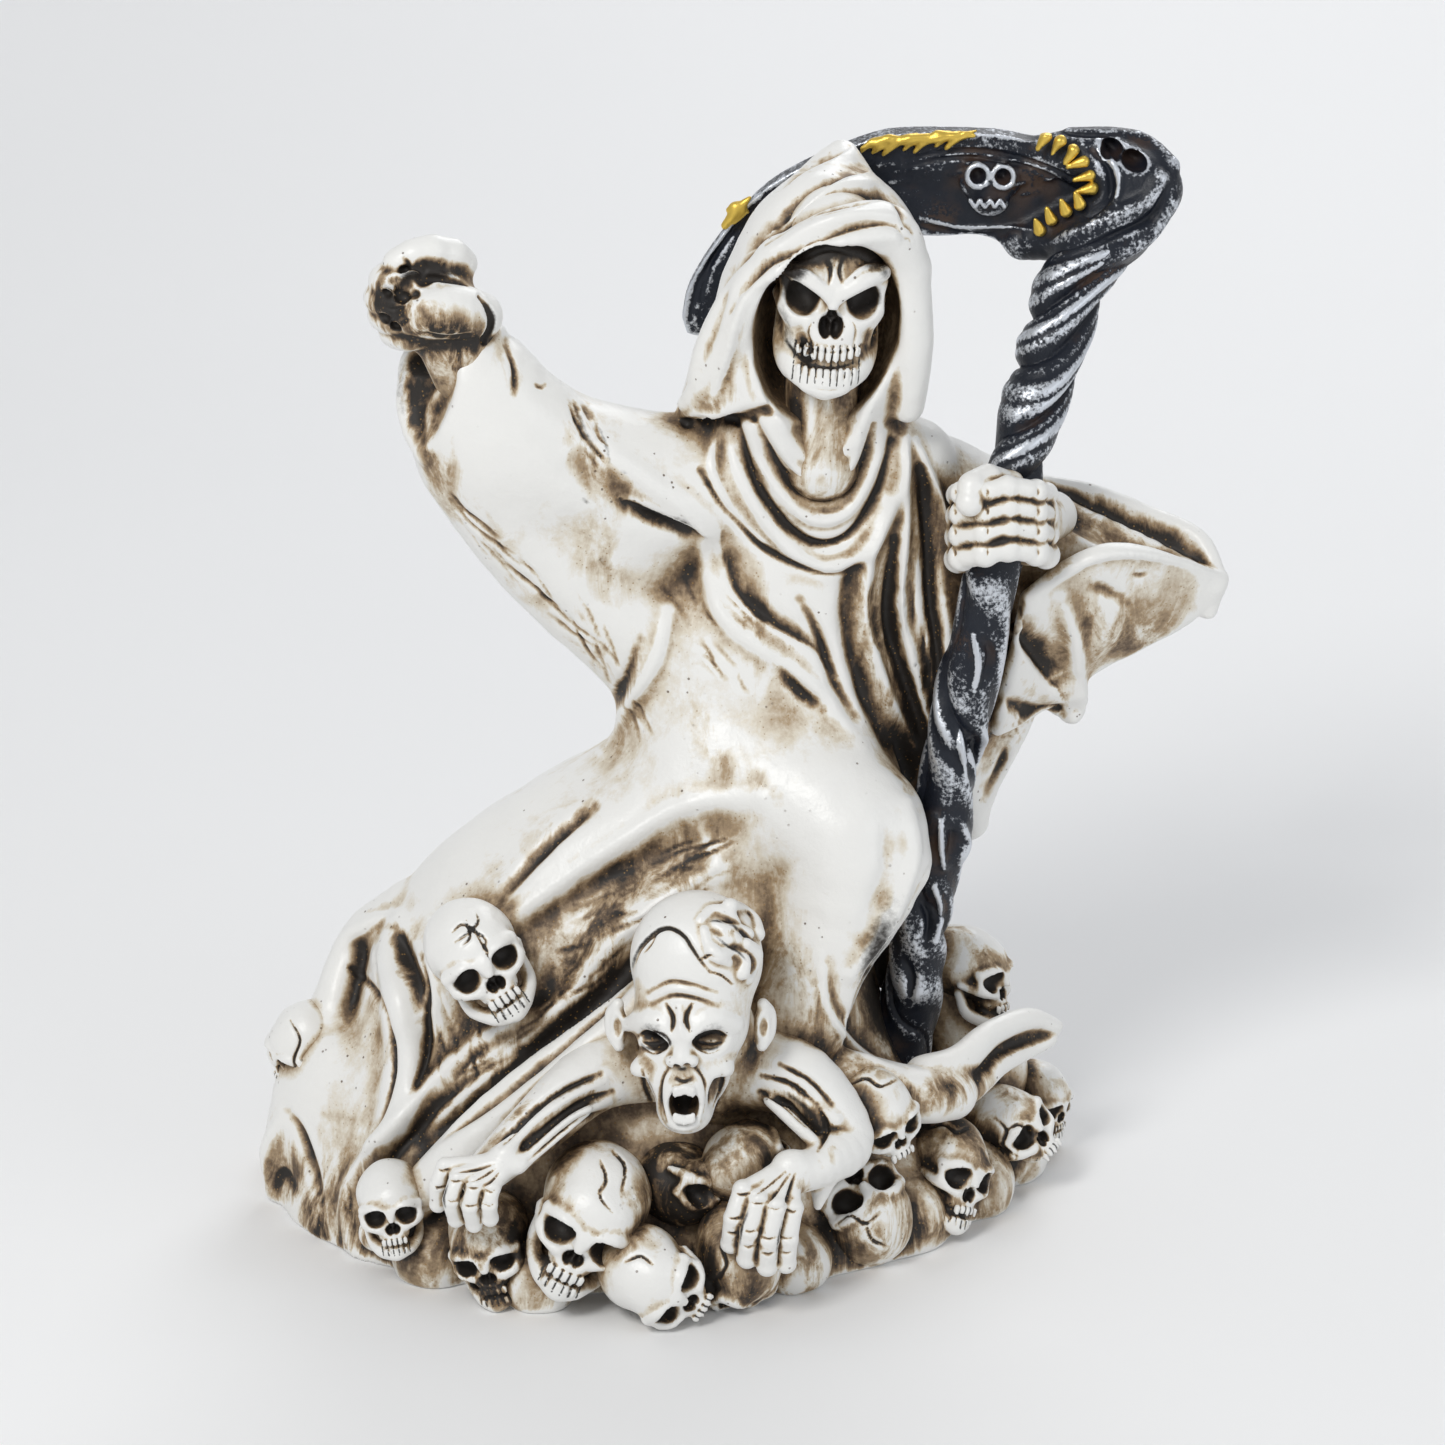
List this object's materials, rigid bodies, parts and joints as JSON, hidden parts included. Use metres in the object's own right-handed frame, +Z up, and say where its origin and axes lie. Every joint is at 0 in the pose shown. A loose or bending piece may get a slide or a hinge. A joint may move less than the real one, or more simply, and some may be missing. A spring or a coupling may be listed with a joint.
{
  "type": "skeleton reaper statue",
  "caption": "Hooded skeleton in a flowing robe, one fist raised, a tall scythe in the other hand, above a crawling corpse on a heap of skulls; white resin with brown wash.",
  "frame": {"origin": "on the flat underside, below the middle of the figure", "axes": "+X to the figure's left, -Y to its front, +Z up"},
  "size_m": [0.1978, 0.1346, 0.2184],
  "materials": {
    "white_resin": "antiqued gloss",
    "silver_paint": "dry-brushed metallic"
  },
  "bodies": {
    "root": {"reaper_figure": "white_resin", "scythe": "silver_paint"}
  },
  "joints": []
}
